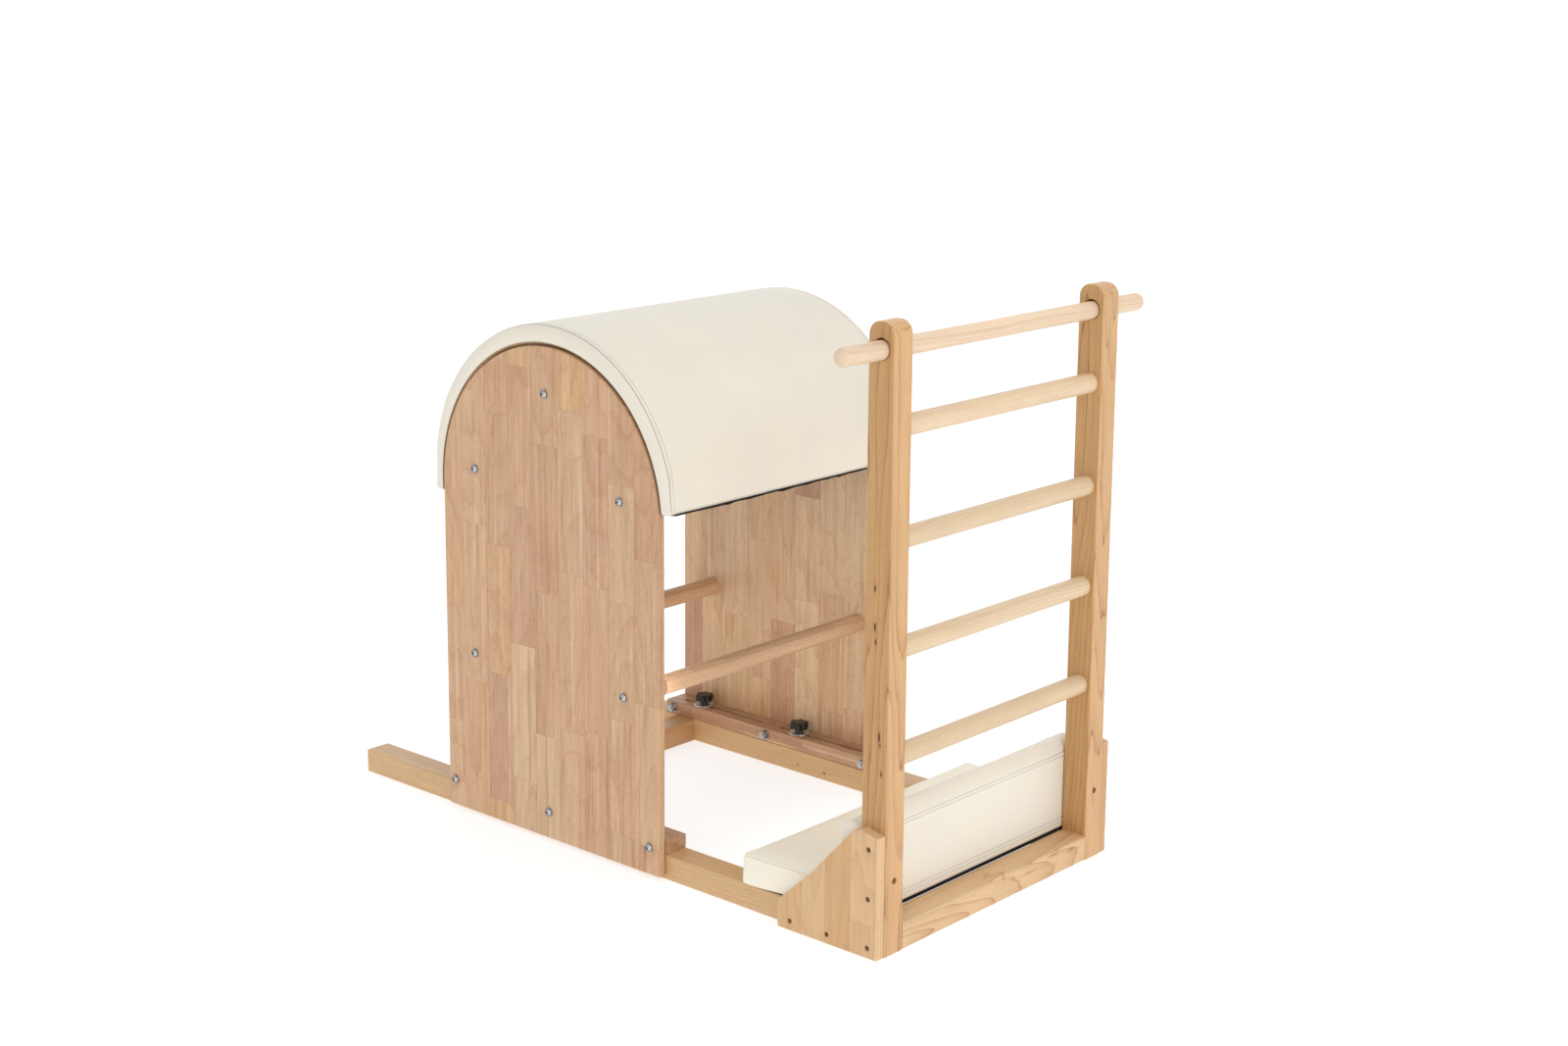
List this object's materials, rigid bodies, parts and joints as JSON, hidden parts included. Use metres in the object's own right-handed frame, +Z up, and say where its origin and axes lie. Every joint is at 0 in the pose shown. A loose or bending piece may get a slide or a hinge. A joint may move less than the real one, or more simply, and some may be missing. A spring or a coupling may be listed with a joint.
{
  "type": "ladder barrel",
  "caption": "Padded half drum on two arched wooden side panels, sliding on a wooden base that carries an upright rung ladder with a kick pad and a foot pad.",
  "frame": {"origin": "on the floor, midway along the base (X) and across it (Y)", "axes": "+X along the base towards the ladder, +Y across the base to the far side, +Z up"},
  "size_m": [1.3, 0.805, 1.03],
  "materials": {
    "frame_wood": "clear satin lacquer over honey hardwood, fine cathedral grain",
    "gusset_wood": "clear satin lacquer, edge-glued staves",
    "rung_wood": "clear satin lacquer over pale turned hardwood",
    "panel_wood": "clear satin lacquer, finger-jointed rubberwood staves",
    "slide_rail_wood": "clear satin lacquer, pinkish rubberwood",
    "plywood": "plain plywood",
    "vinyl": "smooth ivory upholstery vinyl with a soft sheen and fine stitched seams",
    "dust_fabric": "thin black non-woven fabric",
    "chrome_bolt": "bright chrome plating",
    "wood_screw": "dark zinc plated",
    "insert_steel": "zinc plated",
    "zinc": "bright zinc plating",
    "black_plastic": "moulded black nylon, slightly glossy"
  },
  "bodies": {
    "base": {"base_rail_near": "frame_wood", "base_rail_far": "frame_wood", "front_cross_rail": "frame_wood", "rear_cross_rail": "frame_wood", "ladder_post_near": "frame_wood", "ladder_post_far": "frame_wood", "gusset_near": "gusset_wood", "gusset_far": "gusset_wood", "gusset_screws": "wood_screw", "kick_pad_screws": "wood_screw", "foot_pad_screws": "wood_screw", "frame_dowels": "rung_wood", "rung_1": "rung_wood", "rung_2": "rung_wood", "rung_3": "rung_wood", "rung_4": "rung_wood", "kick_pad": "vinyl", "kick_pad_board": "plywood", "kick_pad_dust_cover": "dust_fabric", "foot_pad": "vinyl", "foot_pad_board": "plywood", "foot_pad_dust_cover": "dust_fabric", "knob_inserts": "insert_steel"},
    "top_bar": {"top_bar": "rung_wood"},
    "carriage": {"side_panel_near": "panel_wood", "side_panel_far": "panel_wood", "slide_rail_near": "slide_rail_wood", "slide_rail_far": "slide_rail_wood", "stretcher_dowel_front": "rung_wood", "stretcher_dowel_rear": "rung_wood", "stretcher_inserts": "insert_steel", "stretcher_bolts": "chrome_bolt", "drum_former_near": "plywood", "drum_former_middle": "plywood", "drum_former_far": "plywood", "drum_shell": "plywood", "drum_pad": "vinyl", "drum_dust_cover": "dust_fabric", "drum_bolts": "chrome_bolt", "drum_nuts": "chrome_bolt", "slide_rail_bolts": "chrome_bolt", "slide_rail_nuts": "chrome_bolt", "bolt_washers": "chrome_bolt"},
    "washer_near_rear": {"clamp_washer_near_rear": "zinc"},
    "knob_near_rear": {"clamp_knob_near_rear": "black_plastic", "knob_stud_near_rear": "zinc"},
    "washer_near_front": {"clamp_washer_near_front": "zinc"},
    "knob_near_front": {"clamp_knob_near_front": "black_plastic", "knob_stud_near_front": "zinc"},
    "washer_far_rear": {"clamp_washer_far_rear": "zinc"},
    "knob_far_rear": {"clamp_knob_far_rear": "black_plastic", "knob_stud_far_rear": "zinc"},
    "washer_far_front": {"clamp_washer_far_front": "zinc"},
    "knob_far_front": {"clamp_knob_far_front": "black_plastic", "knob_stud_far_front": "zinc"}
  },
  "joints": [
    {"name": "carriage_slide", "type": "slide", "parent": "base", "child": "carriage", "axis": [1, 0, 0], "range_m": [-0.155, 0.042]},
    {"name": "top_bar_roll", "type": "hinge", "parent": "base", "child": "top_bar", "pos_m": [0.6235, 0, 0.9852], "axis": [0, 1, 0], "continuous": true},
    {"name": "washer_rise_near_rear", "type": "slide", "parent": "base", "child": "washer_near_rear", "axis": [0, 0, 1], "range_m": [0, 0.0025]},
    {"name": "knob_turn_near_rear", "type": "hinge", "parent": "washer_near_rear", "child": "knob_near_rear", "pos_m": [-0.3055, -0.2767, 0.085], "axis": [0, 0, 1], "range_deg": [0, 720]},
    {"name": "washer_rise_near_front", "type": "slide", "parent": "base", "child": "washer_near_front", "axis": [0, 0, 1], "range_m": [0, 0.0025]},
    {"name": "knob_turn_near_front", "type": "hinge", "parent": "washer_near_front", "child": "knob_near_front", "pos_m": [-0.048, -0.2767, 0.085], "axis": [0, 0, 1], "range_deg": [0, 720]},
    {"name": "washer_rise_far_rear", "type": "slide", "parent": "base", "child": "washer_far_rear", "axis": [0, 0, 1], "range_m": [0, 0.0025]},
    {"name": "knob_turn_far_rear", "type": "hinge", "parent": "washer_far_rear", "child": "knob_far_rear", "pos_m": [-0.3055, 0.2767, 0.085], "axis": [0, 0, 1], "range_deg": [0, 720]},
    {"name": "washer_rise_far_front", "type": "slide", "parent": "base", "child": "washer_far_front", "axis": [0, 0, 1], "range_m": [0, 0.0025]},
    {"name": "knob_turn_far_front", "type": "hinge", "parent": "washer_far_front", "child": "knob_far_front", "pos_m": [-0.048, 0.2767, 0.085], "axis": [0, 0, 1], "range_deg": [0, 720]}
  ],
  "couplings": [
    {"joint": "knob_turn_near_rear", "follows": "washer_rise_near_rear", "rad_per_m": 5026.5},
    {"joint": "knob_turn_near_front", "follows": "washer_rise_near_front", "rad_per_m": 5026.5},
    {"joint": "knob_turn_far_rear", "follows": "washer_rise_far_rear", "rad_per_m": 5026.5},
    {"joint": "knob_turn_far_front", "follows": "washer_rise_far_front", "rad_per_m": 5026.5}
  ]
}
